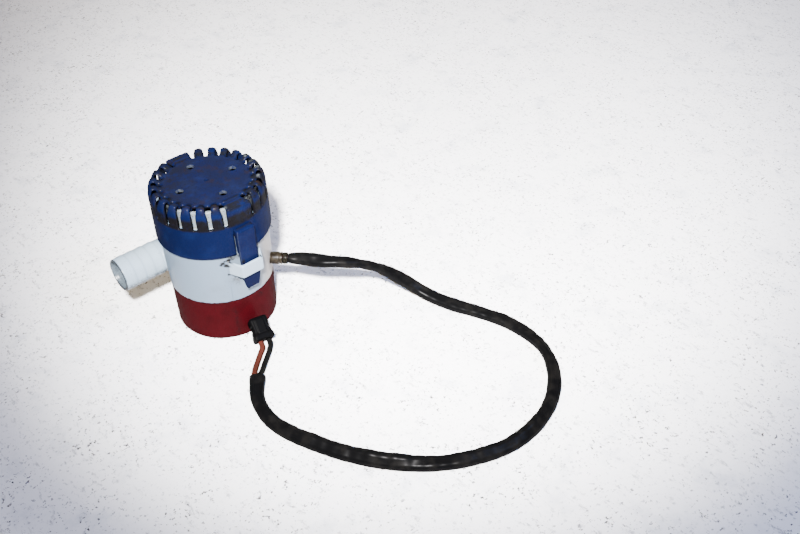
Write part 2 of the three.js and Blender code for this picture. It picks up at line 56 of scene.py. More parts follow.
STEP = 0.45
STEP_FINE = 0.36
STEP_SMALL = 0.25

# ---------------------------------------------------------------- camera

CAMERA_PLACE = (-0.17203, -0.34506, 0.34094)
CAMERA_TURN = (49.916, 0.3375, -41.484)
CAMERA_LENS = 39.915


def make_camera():
    data = bpy.data.cameras.new("camera")
    data.lens = CAMERA_LENS
    data.sensor_width = 36
    data.clip_start = 0.01
    data.clip_end = 20
    camera = bpy.data.objects.new("camera", data)
    camera.location = CAMERA_PLACE
    camera.rotation_euler = [math.radians(a) for a in CAMERA_TURN]
    bpy.context.scene.collection.objects.link(camera)
    bpy.context.scene.camera = camera


make_camera()

# ---------------------------------------------------------------- driving dimensions, mm

CAP = {"base_r": 27.4, "seam_r": 27.7, "seam_z": 26.0, "foot": 0.9, "bore_r": 23.0, "wall": 2.4}
SEAM_GAP = 0.3
HOUSING = {"seam_r": 27.8, "body_r": 28.2, "inner_r": 26.2, "neck_r": 25.0, "neck_in_r": 23.0,
           "neck_z": 73.5, "rim_z": 83.2, "floor_z": 31.2, "ledge_r": 21.4, "ledge_z": 74.7}
POT_GAP_R = 19.5
NOZZLE = {"r": 9.3, "groove": 0.28, "bore_r": 7.3, "mouth_r": 7.9, "end_x": -50.2, "y": 18.7, "z": 38.6}
NOZZLE_RIDGES = (-44.4, -38.9, -33.4, -27.9)
STRAP = {"low_z": 45.6, "high_z": 53.4, "front_y": 35.0, "front_x": 6.2, "root_y": 26.0, "root_x": 10.4,
         "thick": 1.5}
SKIRT = {"lip_z": 57.6, "r": 30.1, "top_r": 29.8, "wall": 1.5}
DISC = {"top_z": 86.0, "thick": 2.0}
RIM = {"r": 26.5, "z": 82.5, "half_width": 3.3, "height": 5.3, "wall": 1.7}
SLOT = {"count": 11, "width": 2.15, "inner_r": 23.0, "low_z": 75.7, "first": 15.8, "pitch": 14.84}
FIELD = {"half_width": 6.9, "face_y": 29.5}
HOLE = {"r": 2.0, "circle_r": 15.55}
TAB = {"width": 10.4, "tip_width": 7.3, "out_y": 33.0, "thick": 1.8, "taper_z": 43.0, "tip_z": 36.0,
       "boss_z": 73.6, "root_z": 69.0}
NOTCH = {"width": 1.1, "top_z": 70.5, "near": 4.2}
GLAND = {"turn": -44.2, "z": 35.7, "r": 3.45, "bore_r": 2.35, "in_r": 21.5, "out_r": 34.4}
FERRULE = {"r": 3.1, "in_r": 34.7, "out_r": 37.2}
CONNECTOR = {"place": (-1.6, -35.1, 8.5), "tilt": 36.0, "turn": -13.0, "width": 10.0, "thick": 8.5,
             "low": -4.3, "high": 5.4}
COLLAR = {"width": 10.9, "thick": 9.2, "low": -7.5}
WIRE_OFFSET = 2.4
WIRE_R = 1.5
SLEEVE_REST = 0.3  # share of the sleeve's length beyond which it lies on the floor
SLEEVE_EASE = 0.06  # share of the length over which it settles there

SLEEVE_ROUTE = [
    (27.03, -26.28, 35.7), (31, -30.4, 35.8), (35.2, -35.8, 35.9), (39.9, -41.4, 35.8), (45, -45.9, 35.3),
    (50.6, -49.6, 33.9), (56.5, -52.3, 31.3), (62.4, -54.3, 27.6), (68.3, -56.1, 22.9), (73.9, -58.3, 17.6),
    (79, -61.5, 12.5), (83.2, -66, 8.2), (86.4, -71.6, 5.2), (89.2, -78.3, 3.7), (93.6, -89.3, 3.3),
    (100.2, -102.9, 3.3), (105.4, -117.6, 3.3), (107, -132.7, 3.3), (103.8, -147.1, 3.3),
    (95.7, -159.5, 3.3), (83.5, -169.4, 3.3), (69.7, -175.4, 3.3), (54.6, -177.5, 3.3), (40.1, -175.8, 3.3),
    (25.4, -170.3, 3.3), (12.4, -162.5, 3.3), (0.8, -152.7, 3.3), (-9.1, -141.4, 3.3), (-17.5, -128.3, 3.3),
    (-24.2, -115, 3.3), (-29.6, -101.2, 3.3), (-32.2, -86.4, 3.3), (-29, -72, 3.3), (-20.5, -59.4, 3.3),
]
BROWN_ROUTE = [
    (-21, -57.2, 3), (-18.7, -54.4, 2.4), (-13.9, -49.8, 1.7), (-9.4, -46, 2), (-6.6, -43.9, 2.9),
    (-5.35, -40.7, 3.9),
]
BLACK_ROUTE = [
    (-18.9, -59.6, 3), (-16, -57.2, 2.4), (-11.1, -52.8, 1.7), (-6.4, -49, 2), (-2.3, -45.2, 2.9),
    (-0.7, -41.8, 3.9),
]

# The flat sleeve along its length: share of the length, width, thickness, and how far the flat side
# leans, degrees.
SLEEVE_SECTIONS = [
    (0.0, 5.2, 5.0, 0), (0.012, 7.0, 5.4, -45), (0.03, 7.6, 5.4, -55), (0.05, 7.4, 5.4, -18),
    (0.067, 6.9, 5.4, 0), (0.085, 6.9, 5.4, 0), (0.103, 7.0, 5.4, 40), (0.121, 7.0, 5.4, 40),
    (0.139, 7.0, 5.4, -5), (0.157, 7.4, 5.4, -25), (0.175, 7.7, 5.4, -50), (0.195, 7.5, 5.4, -35),
    (0.215, 7.4, 5.4, -15), (0.27, 7.6, 5.4, -25), (0.305, 7.2, 5.4, -8), (0.345, 7.4, 5.4, -15),
    (0.385, 7.3, 5.4, 5), (0.42, 7.2, 5.4, 38), (0.46, 7.4, 5.4, 18), (0.495, 7.4, 5.4, 18),
    (0.53, 7.4, 5.4, 50), (0.565, 7.8, 5.4, 48), (0.605, 7.4, 5.4, 20), (0.64, 7.6, 5.4, 35),
    (0.7, 7.4, 5.4, 9), (0.745, 8.2, 5.4, 48), (0.78, 8.2, 5.4, 45), (0.82, 7.8, 5.4, 25),
    (0.86, 8.0, 5.4, 40), (0.9, 7.6, 5.4, 10), (0.935, 7.2, 5.4, 35), (0.97, 7.2, 5.4, 0),
    (0.988, 8.4, 5.4, 0), (1.0, 8.4, 5.2, 0),
]

# ---------------------------------------------------------------- signed distances, mm


def blend_max(a, b, k):
    """The larger of two distances, with the corner between them rounded over k."""
    h = np.maximum(k - np.abs(a - b), 0)
    return np.maximum(a, b) + h * h / (4 * k)


def blend_min(a, b, k):
    return -blend_max(-a, -b, k)


def slab(v, low, high):
    return np.maximum(low - v, v - high)


def box(x, y, z, low, high, edge=0.3):
    """A box with edges rounded by the radius edge."""
    deltas = [np.abs(v - (a + b) / 2) - (b - a) / 2 + edge for v, a, b in zip((x, y, z), low, high)]
    outside = np.sqrt(sum(np.maximum(d, 0) ** 2 for d in deltas))
    return outside + np.minimum(np.maximum(np.maximum(deltas[0], deltas[1]), deltas[2]), 0) - edge


def ellipse(u, v, a, b):
    k0 = np.hypot(u / a, v / b)
    k1 = np.hypot(u / a**2, v / b**2) + 1e-9
    return k0 * (k0 - 1) / k1


def ramp(v, low, high):
    """0 below low, 1 above high, smooth between."""
    t = np.clip((v - low) / (high - low), 0, 1)
    return t * t * (3 - 2 * t)


# ---------------------------------------------------------------- meshes


def surface(shape, low, high, step):
    """Vertices and quads of the surface where shape(x, y, z) is zero, on a grid of that step."""
    axes = [np.arange(a - 1.5 * step, b + 2 * step, step) for a, b in zip(low, high)]
    gy, gz = np.meshgrid(axes[1], axes[2], indexing="ij")
    field = np.stack([shape(np.full_like(gy, x), gy, gz) for x in axes[0]])
    inside = field < 0
    count = [n - 1 for n in field.shape]
    corners = sum(
        inside[i : i + count[0], j : j + count[1], k : k + count[2]].astype(np.uint8)
        for i, j, k in itertools.product((0, 1), repeat=3)
    )
    mixed = (corners > 0) & (corners < 8)
    cells = np.argwhere(mixed)
    numbers = np.full(mixed.shape, -1, np.int64)
    numbers[mixed] = np.arange(len(cells))
    total = np.zeros((len(cells), 3))
    crossings = np.zeros(len(cells))
    quads = []
    for axis in range(3):
        along = np.eye(3, dtype=int)[axis]
        side_a = np.eye(3, dtype=int)[(axis + 1) % 3]
        side_b = np.eye(3, dtype=int)[(axis + 2) % 3]
        for i, j in itertools.product((0, 1), repeat=2):
            start = cells + i * side_a + j * side_b
            f0 = field[tuple(start.T)]
            f1 = field[tuple((start + along).T)]
            cross = (f0 < 0) != (f1 < 0)
            share = np.where(cross, f0 / np.where(cross, f0 - f1, 1), 0)
            total += np.where(cross[:, None], start + share[:, None] * along, 0)
            crossings += cross
        first = np.take(inside, range(count[axis]), axis)
        second = np.take(inside, range(1, count[axis] + 1), axis)
        for leaving, turned_round in ((first & ~second, False), (~first & second, True)):
            edge = np.argwhere(leaving)
            edge = edge[(edge[:, (axis + 1) % 3] > 0) & (edge[:, (axis + 2) % 3] > 0)]
            ring = [edge, edge - side_a, edge - side_a - side_b, edge - side_b]
            quad = np.stack([numbers[tuple(c.T)] for c in ring], 1)
            quads.append(quad[:, ::-1] if turned_round else quad)
    points = total / crossings[:, None] * step + [a[0] for a in axes]
    for _ in range(3):
        points -= np.clip(shape(*points.T), -step, step)[:, None] * slope(shape, points)
    return points, np.concatenate(quads)


def slope(shape, points):
    """The direction in which the distance grows, divided by its steepness."""
    eps = 0.02
    g = np.stack([(shape(*(points + d).T) - shape(*(points - d).T)) / (2 * eps) for d in np.eye(3) * eps], 1)
    return g / np.maximum((g * g).sum(1), 0.25)[:, None]


def mesh_object(name, points, faces, material, masks=None, sharp=None):
    """A mesh in metres from points in mm. masks maps a name to one value for each point."""
    mesh = bpy.data.meshes.new(name)
    mesh.from_pydata((np.asarray(points) * MM).tolist(), [], [list(map(int, f)) for f in faces])
    mesh.polygons.foreach_set("use_smooth", [True] * len(mesh.polygons))
    for key, values in (masks or {}).items():
        attribute = mesh.attributes.new(key, "FLOAT", "POINT")
        attribute.data.foreach_set("value", np.asarray(values, np.float32))
    if sharp is not None:
        mesh.set_sharp_from_angle(angle=math.radians(sharp))
    mesh.materials.append(material)
    made = bpy.data.objects.new(name, mesh)
    bpy.context.scene.collection.objects.link(made)
    return made


def grid_faces(rows, columns, closed_rows=False):
    """Quads of a grid of points numbered row by row. Each row is a closed ring."""
    faces = []
    for i in range(rows if closed_rows else rows - 1):
        for j in range(columns):
            k = (j + 1) % columns
            below = (i + 1) % rows
            faces.append((i * columns + j, i * columns + k, below * columns + k, below * columns + j))
    return faces


def lathe(profile, segments=160):
    """A closed profile of (radius, z) points turned about Z.

    The profile runs anticlockwise, seen with r to the right.
    """
    angles = np.arange(segments) * 2 * math.pi / segments
    points = np.array([(r * math.cos(a), r * math.sin(a), z) for r, z in profile for a in angles])
    return points, [f[::-1] for f in grid_faces(len(profile), segments, closed_rows=True)]


def rounded(corners, radii, steps=5):
    """A closed outline with each corner turned into an arc of about that radius."""
    out = []
    n = len(corners)
    for i, (corner, radius) in enumerate(zip(corners, radii)):
        c = Vector(corner)
        before = (Vector(corners[i - 1]) - c).normalized()
        after = (Vector(corners[(i + 1) % n]) - c).normalized()
        if radius <= 0:
            out.append(tuple(c))
            continue
        for k in range(steps + 1):
            t = k / steps
            a = c + before * radius
            b = c + after * radius
            out.append(tuple(a * (1 - t) ** 2 + c * 2 * t * (1 - t) + b * t**2))
    return out


def along_gland(points):
    """Points made about Z, laid along the gland's axis with Z as the distance from the pump's axis."""
    x, y, z = np.asarray(points).T
    a = math.radians(GLAND["turn"])
    out, side, up = z, y, -x
    return np.stack([out * math.cos(a) - side * math.sin(a), out * math.sin(a) + side * math.cos(a),
                     up + GLAND["z"]], 1)


def smooth_path(route, count):
    """Points spaced evenly along a smooth curve through the route, and the curve's length."""
    p = np.array(route, float)
    p = np.concatenate([[2 * p[0] - p[1]], p, [2 * p[-1] - p[-2]]])
    fine = []
    for a, b, c, d in zip(p, p[1:], p[2:], p[3:]):
        t0 = 0.0
        t1 = t0 + np.linalg.norm(b - a) ** 0.5
        t2 = t1 + np.linalg.norm(c - b) ** 0.5
        t3 = t2 + np.linalg.norm(d - c) ** 0.5
        for t in np.linspace(t1, t2, 16, endpoint=False):
            ab = a * (t1 - t) / (t1 - t0) + b * (t - t0) / (t1 - t0)
            bc = b * (t2 - t) / (t2 - t1) + c * (t - t1) / (t2 - t1)
            cd = c * (t3 - t) / (t3 - t2) + d * (t - t2) / (t3 - t2)
            abc = ab * (t2 - t) / (t2 - t0) + bc * (t - t0) / (t2 - t0)
            bcd = bc * (t3 - t) / (t3 - t1) + cd * (t - t1) / (t3 - t1)
            fine.append(abc * (t2 - t) / (t2 - t1) + bcd * (t - t1) / (t2 - t1))
    fine.append(p[-2])
    fine = np.array(fine)
    run = np.concatenate([[0], np.cumsum(np.linalg.norm(np.diff(fine, axis=0), axis=1))])
    even = np.linspace(0, run[-1], count)
    return np.stack([np.interp(even, run, fine[:, i]) for i in range(3)], 1), run[-1]


def side_vectors(path):
    """For each point of a path, a level vector across it and one square to both."""
    along = np.gradient(path, axis=0)
    along /= np.linalg.norm(along, axis=1)[:, None]
    across = np.cross(along, [0, 0, 1])
    across /= np.linalg.norm(across, axis=1)[:, None]
    return along, across, np.cross(across, along)


# ---------------------------------------------------------------- materials


class Paint:
    """A Principled material built up in layers."""

    def __init__(self, name, colour, roughness, metallic=0.0, specular=0.5, coat=0.0):
        self.material = bpy.data.materials.new(name)
        self.material.use_nodes = True
        self.nodes = self.material.node_tree.nodes
        self.links = self.material.node_tree.links
        self.shader = self.nodes["Principled BSDF"]
        self.shader.inputs["Base Color"].default_value = (*colour, 1)
        self.shader.inputs["Roughness"].default_value = roughness
        self.shader.inputs["Metallic"].default_value = metallic
        self.shader.inputs["Specular IOR Level"].default_value = specular
        self.shader.inputs["Coat Weight"].default_value = coat
        self.shader.inputs["Coat Roughness"].default_value = 0.3
        self.place = self.nodes.new("ShaderNodeTexCoord").outputs["Object"]

    def noise(self, size, low=0.4, high=0.6, detail=4.0, roughness=0.55, stretch=(1, 1, 1), offset=0.0):
        """Cloudy noise with features of about that size in mm, ramped from low to high."""
        mapping = self.nodes.new("ShaderNodeMapping")
        mapping.inputs["Location"].default_value = (offset, 0.7 * offset, 0.3 * offset)
        mapping.inputs["Scale"].default_value = stretch
        self.links.new(self.place, mapping.inputs["Vector"])
        node = self.nodes.new("ShaderNodeTexNoise")
        node.inputs["Scale"].default_value = 1 / (size * MM)
        node.inputs["Detail"].default_value = detail
        node.inputs["Roughness"].default_value = roughness
        self.links.new(mapping.outputs["Vector"], node.inputs["Vector"])
        return self.ramp(node.outputs["Fac"], low, high)

    def ramp(self, value, low, high, to_low=0.0, to_high=1.0):
        node = self.nodes.new("ShaderNodeMapRange")
        node.interpolation_type = "SMOOTHSTEP"
        node.inputs["From Min"].default_value = low
        node.inputs["From Max"].default_value = high
        node.inputs["To Min"].default_value = to_low
        node.inputs["To Max"].default_value = to_high
        self.links.new(value, node.inputs["Value"])
        return node.outputs["Result"]

    def mask(self, name):
        node = self.nodes.new("ShaderNodeAttribute")
        node.attribute_name = name
        return node.outputs["Fac"]

    def math(self, operation, a, b):
        node = self.nodes.new("ShaderNodeMath")
        node.operation = operation
        for socket, value in zip(node.inputs, (a, b)):
            if isinstance(value, (int, float)):
                socket.default_value = value
            else:
                self.links.new(value, socket)
        return node.outputs["Value"]

    def times(self, a, b):
        return self.math("MULTIPLY", a, b)

    def cover(self, colour, amount):
        """Lays a colour over what is there. amount is a socket or a number from 0 to 1."""
        mix = self.nodes.new("ShaderNodeMix")
        mix.data_type = "RGBA"
        base = self.shader.inputs["Base Color"]
        if base.is_linked:
            self.links.new(base.links[0].from_socket, mix.inputs["A"])
        else:
            mix.inputs["A"].default_value = base.default_value
        mix.inputs["B"].default_value = (*colour, 1)
        if isinstance(amount, (int, float)):
            mix.inputs["Factor"].default_value = amount
        else:
            self.links.new(amount, mix.inputs["Factor"])
        self.links.new(mix.outputs["Result"], base)

    def roughen(self, amount, low, high):
        """Roughness that runs from low to high as amount runs from 0 to 1."""
        self.links.new(self.ramp(amount, 0, 1, low, high), self.shader.inputs["Roughness"])

    def bump(self, amount, depth):
        """Surface relief of that depth in mm."""
        node = self.nodes.new("ShaderNodeBump")
        node.inputs["Distance"].default_value = depth * MM
        self.links.new(amount, node.inputs["Height"])
        if self.shader.inputs["Normal"].is_linked:
            self.links.new(self.shader.inputs["Normal"].links[0].from_socket, node.inputs["Normal"])
        self.links.new(node.outputs["Normal"], self.shader.inputs["Normal"])


def blue_plastic():
    paint = Paint("blue_plastic", (0.0012, 0.0022, 0.0115), 0.5, specular=0.0, coat=0.035)
    paint.cover((0.0020, 0.0040, 0.018), paint.times(paint.noise(9, 0.45, 0.7, detail=5, offset=3), 0.6))
    # soiling, with painted shade inside the strainer and on the tabs' inner faces
    grime_and_shade = paint.mask("grime_and_shade")
    patches = paint.noise(7.0, 0.36, 0.54, detail=7, roughness=0.74)
    film_and_shade = paint.times(paint.ramp(grime_and_shade, 0.1, 0.9), patches)
    paint.cover((0.0022, 0.0024, 0.0034), film_and_shade)
    brown = paint.noise(6.0, 0.54, 0.70, detail=6, offset=9)
    paint.cover((0.0044, 0.0028, 0.0024), paint.times(grime_and_shade, brown))
    worn = paint.noise(3.6, 0.36, 0.54, detail=6, roughness=0.7)
    paint.cover((0.0020, 0.0018, 0.0022), paint.times(paint.mask("band"), worn))
    speck = paint.noise(0.8, 0.60, 0.72, detail=2, offset=5)
    paint.cover((0.0012, 0.0012, 0.002), paint.times(paint.ramp(grime_and_shade, 0.0, 0.5, 0.15, 0.7), speck))
    pale = paint.times(paint.mask("pale"), paint.noise(1.2, 0.30, 0.60, detail=3, offset=7))
    paint.cover((0.030, 0.034, 0.034), pale)
    paint.bump(paint.noise(1.4, 0.2, 0.8, detail=5), 0.04)
    return paint.material


def white_plastic():
    paint = Paint("white_plastic", (0.070, 0.096, 0.128), 0.45, specular=0.0, coat=0.3)
    paint.cover((0.062, 0.082, 0.106), paint.noise(16, 0.45, 0.75, offset=2))
    # painted light: the outlet pipe and the front strap loop, where the flash falls, painted lighter
    paint.cover((0.150, 0.195, 0.235), paint.mask("painted_light"))
    # painted light: the side facing the right-hand lamp, painted a lighter warm tone
    paint.cover((0.125, 0.118, 0.112), paint.mask("warm"))
    paint.cover((0.05, 0.046, 0.04), paint.times(paint.noise(1.0, 0.66, 0.74, detail=2, offset=4), 0.5))
    # soiling, and painted shade under the skirt lip and in the recess by the tab
    dirt_and_shade = paint.mask("dirt_and_shade")
    paint.cover((0.03, 0.031, 0.031), paint.times(dirt_and_shade, paint.noise(1.5, 0.36, 0.54, detail=4, offset=6)))
    paint.cover((0.006, 0.0055, 0.005), paint.times(dirt_and_shade, paint.noise(1.1, 0.52, 0.58, detail=3, offset=14)))
    # dark marks and painted shade: pits, seam chips and the mould line, and shade under the strap, over the
    # nozzle root, inside the pipe and behind the notches
    paint.cover((0.0018, 0.0016, 0.0016), paint.mask("marks_and_shade"))
    neck = paint.mask("neck")
    paint.cover((0.085, 0.09, 0.085), paint.times(neck, paint.noise(0.9, 0.35, 0.6, offset=1)))
    paint.cover((0.012, 0.012, 0.010), paint.times(neck, paint.noise(0.7, 0.58, 0.66, offset=8)))
    # painted shade on the neck behind the slots, dark and patchy
    shade = paint.mask("shade")
    patchy_shade = paint.times(shade, paint.noise(2.0, 0.38, 0.5, offset=12))
    paint.cover((0.003, 0.003, 0.0034), paint.math("MAXIMUM", patchy_shade, paint.times(shade, 0.85)))
    paint.bump(paint.noise(5, 0.2, 0.8), 0.03)
    return paint.material


def red_plastic():
    paint = Paint("red_plastic", (0.0150, 0.0009, 0.0016), 0.5, specular=0.0, coat=0.02)
    paint.cover((0.0115, 0.0008, 0.0013), paint.noise(12, 0.42, 0.66, offset=2))
    smears = paint.noise(1.6, 0.40, 0.62, offset=3)
    paint.cover((0.0035, 0.0018, 0.0021), paint.times(paint.mask("dirt_and_shade"), smears))
    specks = paint.noise(0.7, 0.68, 0.76, detail=2, offset=6)
    paint.cover((0.0030, 0.0008, 0.0010), paint.times(specks, 0.7))
    paint.bump(paint.noise(3, 0.2, 0.8), 0.03)
    return paint.material


def ivory_plastic():
    paint = Paint("ivory_plastic", (0.12, 0.115, 0.10), 0.5, specular=0.2)
    paint.cover((0.03, 0.026, 0.02), paint.noise(3.5, 0.50, 0.72, offset=2))
    return paint.material


def black_rubber():
    paint = Paint("black_rubber", (0.0013, 0.0013, 0.0014), 0.5, specular=0.0, coat=0.035)
    paint.cover((0.0032, 0.0030, 0.0028), paint.noise(7, 0.45, 0.7, detail=5))
    paint.bump(paint.noise(2.2, 0.2, 0.8, detail=4), 0.06)
    return paint.material


def black_plastic():
    paint = Paint("black_plastic", (0.0009, 0.0009, 0.0010), 0.5, specular=0.0, coat=0.018)
    paint.cover((0.0013, 0.0012, 0.0011), paint.noise(2.5, 0.5, 0.75))
    paint.bump(paint.noise(1.2, 0.2, 0.8), 0.015)
    return paint.material


def brown_pvc():
    paint = Paint("brown_pvc", (0.026, 0.0068, 0.0045), 0.42, specular=0.0, coat=0.06)
    paint.cover((0.020, 0.0060, 0.0042), paint.noise(4, 0.45, 0.7))
    return paint.material


def black_pvc():
    paint = Paint("black_pvc", (0.002, 0.002, 0.0019), 0.42, specular=0.0, coat=0.05)
    paint.cover((0.006, 0.005, 0.004), paint.noise(3, 0.55, 0.75))
    return paint.material


def steel():
    paint = Paint("steel", (0.46, 0.47, 0.48), 0.3, metallic=1)
    paint.roughen(paint.noise(4), 0.22, 0.42)
    return paint.material


def brass():
    paint = Paint("brass", (0.0105, 0.0082, 0.0052), 0.34, metallic=0.1, specular=0.06, coat=0.05)
    paint.cover((0.0035, 0.0026, 0.0016), paint.noise(1.8, 0.44, 0.62, detail=4))
    paint.roughen(paint.noise(2.5), 0.28, 0.5)
    return paint.material


def bronze():
    paint = Paint("bronze", (0.003, 0.0027, 0.002), 0.42, metallic=0.1, specular=0.0, coat=0.05)
    paint.cover((0.008, 0.007, 0.004), paint.noise(1.5, 0.5, 0.7))
    return paint.material


def copper():
    paint = Paint("copper", (0.50, 0.20, 0.10), 0.35, metallic=0.9)
    paint.cover((0.25, 0.07, 0.03), paint.noise(2, 0.45, 0.7, stretch=(1, 1, 6)))
    return paint.material


def lamination():
    paint = Paint("lamination", (0.20, 0.21, 0.22), 0.45, metallic=0.8)
    paint.cover((0.10, 0.10, 0.11), paint.noise(0.6, 0.45, 0.55, stretch=(0.05, 0.05, 1)))
    return paint.material


def ferrite():
    paint = Paint("ferrite", (0.05, 0.05, 0.053), 0.7)
    paint.cover((0.08, 0.08, 0.08), paint.noise(1.0, 0.5, 0.7))
    return paint.material


def carbon():
    paint = Paint("carbon", (0.03, 0.03, 0.03), 0.6)
    paint.cover((0.07, 0.05, 0.04), paint.noise(0.6, 0.5, 0.7))
    return paint.material


MAKERS = (blue_plastic, white_plastic, red_plastic, ivory_plastic, black_rubber, black_plastic, brown_pvc,
          black_pvc, steel, brass, bronze, copper, lamination, ferrite, carbon)
FINISH = {maker.__name__: maker() for maker in MAKERS}

# ---------------------------------------------------------------- strainer


def rim_outside(r, z):
    """The strainer's outer form before anything is cut: skirt, rounded rim and disc."""
    skirt_r = SKIRT["r"] - (SKIRT["r"] - SKIRT["top_r"]) * (z - SKIRT["lip_z"]) / (RIM["z"] - SKIRT["lip_z"])
    skirt = np.maximum(r - skirt_r, z - RIM["z"])
    crest = ellipse(r - RIM["r"], z - RIM["z"], RIM["half_width"], RIM["height"])
    disc = np.maximum(r - RIM["r"], z - DISC["top_z"])
    return blend_min(np.minimum(skirt, crest), disc, 3.2)


def rim_inside(r, z):
    """The strainer's hollow: inside the skirt, up into the rim, and under the disc."""
    wall = SKIRT["r"] - SKIRT["wall"] - 0.5 * (z - SKIRT["lip_z"]) / (RIM["z"] - SKIRT["lip_z"])
    skirt = np.maximum(r - wall, z - RIM["z"])
    crest = ellipse(r - RIM["r"], z - RIM["z"], RIM["half_width"] - RIM["wall"], RIM["height"] - RIM["wall"])
    under = np.maximum(r - RIM["r"], z - DISC["top_z"] + DISC["thick"])
    return np.minimum(np.minimum(skirt, crest), under)


def slot_cut(x, y, z):
    """All the slots: each is a gap square to the rim with a round inner end."""
    r = np.hypot(x, y)
    away = np.degrees(np.arctan2(np.abs(x), y))
    number = np.clip(np.round((away - SLOT["first"]) / SLOT["pitch"]), 0, SLOT["count"] - 1)
    turn = np.radians(away - SLOT["first"] - number * SLOT["pitch"])
    along = r * np.cos(turn) - SLOT["inner_r"] - SLOT["width"] / 2
    across = np.abs(r * np.sin(turn))
    plan = np.where(along < 0, np.hypot(across, along), across) - SLOT["width"] / 2
    return blend_max(plan, SLOT["low_z"] - z, 0.8)


def strainer_shape(x, y, z):
    r = np.hypot(x, y)
    side = np.abs(y)
    body = blend_max(rim_outside(r, z), SKIRT["lip_z"] - z, 0.7)
    wide = FIELD["half_width"]
    fill = box(x, side, z, (-wide, 24.0, 79.0), (wide, FIELD["face_y"], DISC["top_z"]), 0.35)
    trim = box(x, side, z, (-wide, 22.8, DISC["top_z"]), (wide, 40.0, 95.0), 0.3)
    body = blend_max(body, -trim, 0.3)
    body = blend_min(body, fill, 0.3)
    inside = rim_inside(r, z)
    low_roof = np.maximum(inside, z - DISC["top_z"] + DISC["thick"])
    body = blend_max(body, -np.where(np.abs(x) < wide + 0.6, low_roof, inside), 0.3)
    notch = np.maximum(slab(np.abs(x), NOTCH["near"], NOTCH["near"] + NOTCH["width"]), z - NOTCH["top_z"])
    body = blend_max(body, -np.maximum(notch, 25 - side), 0.3)
    body = blend_max(body, -slot_cut(x, y, z), 0.7 + 1.5 * ramp(z, 82.0, 86.5))
    hole = np.minimum(np.hypot(np.abs(x) - HOLE["circle_r"], y), np.hypot(x, side - HOLE["circle_r"]))
    body = blend_max(body, HOLE["r"] - hole, 0.3)
    dimple = np.sqrt(x**2 + y**2 + (z - DISC["top_z"] - 1.1) ** 2) - 1.5
    return blend_max(body, -dimple, 0.3)


# Pale scuffs on the rim: x, y, size.
SCUFFS = ((-6.5, -26.5, 1.5), (15.5, -17.5, 1.2), (20.5, -16.5, 1.0), (24.5, -9.5, 1.5), (25.5, -2.5, 1.3),
          (25.8, 3.0, 1.0))


def strainer_masks(points):
    """Soiling with painted shade on the inside and the slot walls, pale scuffs and the dark band under the
    rim, one value for each point.
    """
    x, y, z = points.T
    r = np.hypot(x, y)
    right = ramp(x * 0.752 - y * 0.659, -5, 25)
    left = ramp(-x * 0.752 + y * 0.659, 0, 25)
    band = ramp(z, 74.4, 76.2) * (1 - ramp(z, 80.2, 83.0)) * ramp(r, 27, 28.5)
    slope_in = ramp(z, 86.1, 86.6) * (1 - ramp(r, 26.5, 28))
    disc = ramp(z, 85.5, 85.9) * (1 - ramp(r, 24, 25))
    crest = ramp(z, 83, 86) * ramp(r, 26, 27)
    field = (np.abs(x) < FIELD["half_width"]) * ramp(z, 75, 78) * (1 - ramp(z, 80, 84))
    grime_and_shade = 0.92 * band + slope_in * (0.45 + 0.45 * right) + disc * (0.34 + 0.22 * left)
    grime_and_shade += crest * (0.25 + 0.6 * right + 0.1 * left) + 0.08
    grime_and_shade = np.where(field > 0.1, np.maximum(grime_and_shade * 0.8, 0.3), grime_and_shade)
    # painted shade: the inside of the rim and the slot walls are darkened
    hidden = np.maximum(rim_inside(r, z) < 0.4, slot_cut(x, y, z) < 0.25) * (z > 75)
    grime_and_shade = np.clip(np.where(hidden, np.maximum(grime_and_shade, 0.85), grime_and_shade), 0, 1)
    hole = np.minimum(np.hypot(np.abs(x) - HOLE["circle_r"], y), np.hypot(x, np.abs(y) - HOLE["circle_r"]))
    # the hole walls: pale dust, and partly painted light where light falls on them
    pale = 0.6 * (hole < HOLE["r"] + 0.12) * (z < 85.85) * (z > 83.8)
    for px, py, size in SCUFFS:
        pale = np.maximum(pale, 0.8 * (1 - ramp(np.hypot(x - px, y - py), 0.3 * size, 1.3 * size)) * (z > 84))
    return {"grime_and_shade": grime_and_shade, "pale": np.clip(pale, 0, 1), "band": np.clip(band, 0, 1)}


def make_strainer():
    reach = SKIRT["r"]
    top = RIM["z"] + RIM["height"] + 0.7
    points, faces = surface(strainer_shape, (-reach, -reach, SKIRT["lip_z"]), (reach, reach, top), STEP_FINE)
    made = mesh_object("strainer_moulding", points, faces, FINISH["blue_plastic"], strainer_masks(points))
    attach(made, "strainer")
    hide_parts("strainer")


def tab_shape(x, y, z):
    """The front snap tab with the boss that it hangs from."""
    out = -y
    half = TAB["width"] / 2
    taper = np.clip((TAB["taper_z"] - z) / (TAB["taper_z"] - TAB["tip_z"]), 0, 1)
    narrow = (half - TAB["tip_width"] / 2) * taper
    width = np.abs(x) - half + narrow
    plate = blend_max(slab(out, TAB["out_y"] - TAB["thick"], TAB["out_y"]), slab(z, TAB["tip_z"], 72), 0.6)
    top = (out - TAB["out_y"]) * 0.33 + (z - TAB["boss_z"]) * 0.94 + 0.35
    boss = blend_max(slab(out, 27, TAB["out_y"]), slab(z, TAB["root_z"] + 0.3, TAB["boss_z"]), 0.8)
    boss = blend_max(boss, top, 0.9)
    body = np.minimum(plate, boss)
    body = blend_max(body, width, 0.8)
    wall = SKIRT["r"] - 0.3 * (z - SKIRT["lip_z"]) / (RIM["z"] - SKIRT["lip_z"])
    return np.maximum(body, wall - 0.08 - np.hypot(x, y))


